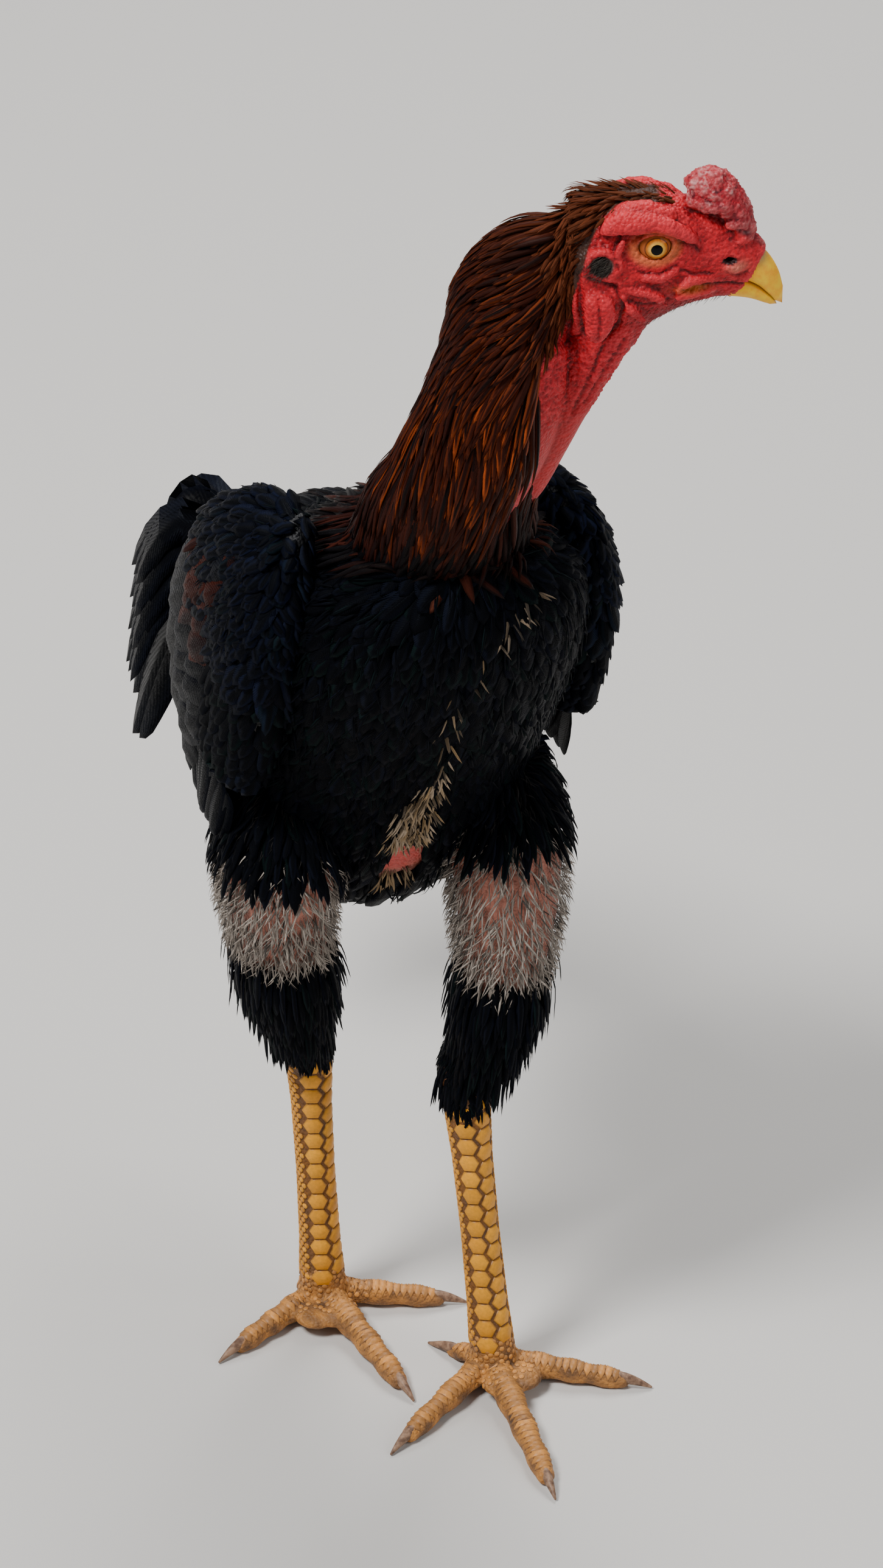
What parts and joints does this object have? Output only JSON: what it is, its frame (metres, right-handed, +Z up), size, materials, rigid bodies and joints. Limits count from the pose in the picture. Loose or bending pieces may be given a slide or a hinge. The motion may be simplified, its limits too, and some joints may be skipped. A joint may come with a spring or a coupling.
{
  "type": "rooster",
  "caption": "Life-size standing game rooster with a turned head, low lumpy comb, long hackle, folded wings, drooping tail and bare yellow legs.",
  "frame": {"origin": "on the floor under the middle of the whole bird's box", "axes": "+Z up, -Y the way the breast faces, +X the bird's own left"},
  "size_m": [0.2021, 0.37, 0.6196],
  "materials": {
    "black_plumage": "black feathers with a blue sheen",
    "hackle_plumage": "long red-brown neck feathers with dark centres",
    "thigh_down": "loose grey and buff down over pink skin, black below",
    "face_skin": "bare red pebbled skin",
    "comb_skin": "dark red lumpy comb with pale crust",
    "ear_bristle": "short dark bristle",
    "leg_scale": "yellow scales with dark seams",
    "beak_horn": "yellow horn",
    "claw_horn": "pale horn",
    "eye": "wet orange eye"
  },
  "bodies": {
    "root": {"torso": "black_plumage", "neck": "hackle_plumage", "tail": "black_plumage", "head": "face_skin", "throat": "face_skin", "comb": "comb_skin", "beak_upper": "beak_horn", "beak_lower": "beak_horn", "eye_left": "eye", "ear_left": "ear_bristle", "earlobe_left": "face_skin", "wing_left": "black_plumage", "thigh_left": "thigh_down", "shank_left": "leg_scale", "foot_left": "leg_scale", "toe_middle_left": "leg_scale", "claw_middle_left": "claw_horn", "toe_outer_left": "leg_scale", "claw_outer_left": "claw_horn", "toe_inner_left": "leg_scale", "claw_inner_left": "claw_horn", "toe_back_left": "leg_scale", "claw_back_left": "claw_horn", "eye_right": "eye", "ear_right": "ear_bristle", "earlobe_right": "face_skin", "wing_right": "black_plumage", "thigh_right": "thigh_down", "shank_right": "leg_scale", "foot_right": "leg_scale", "toe_middle_right": "leg_scale", "claw_middle_right": "claw_horn", "toe_outer_right": "leg_scale", "claw_outer_right": "claw_horn", "toe_inner_right": "leg_scale", "claw_inner_right": "claw_horn", "toe_back_right": "leg_scale", "claw_back_right": "claw_horn"}
  },
  "joints": []
}
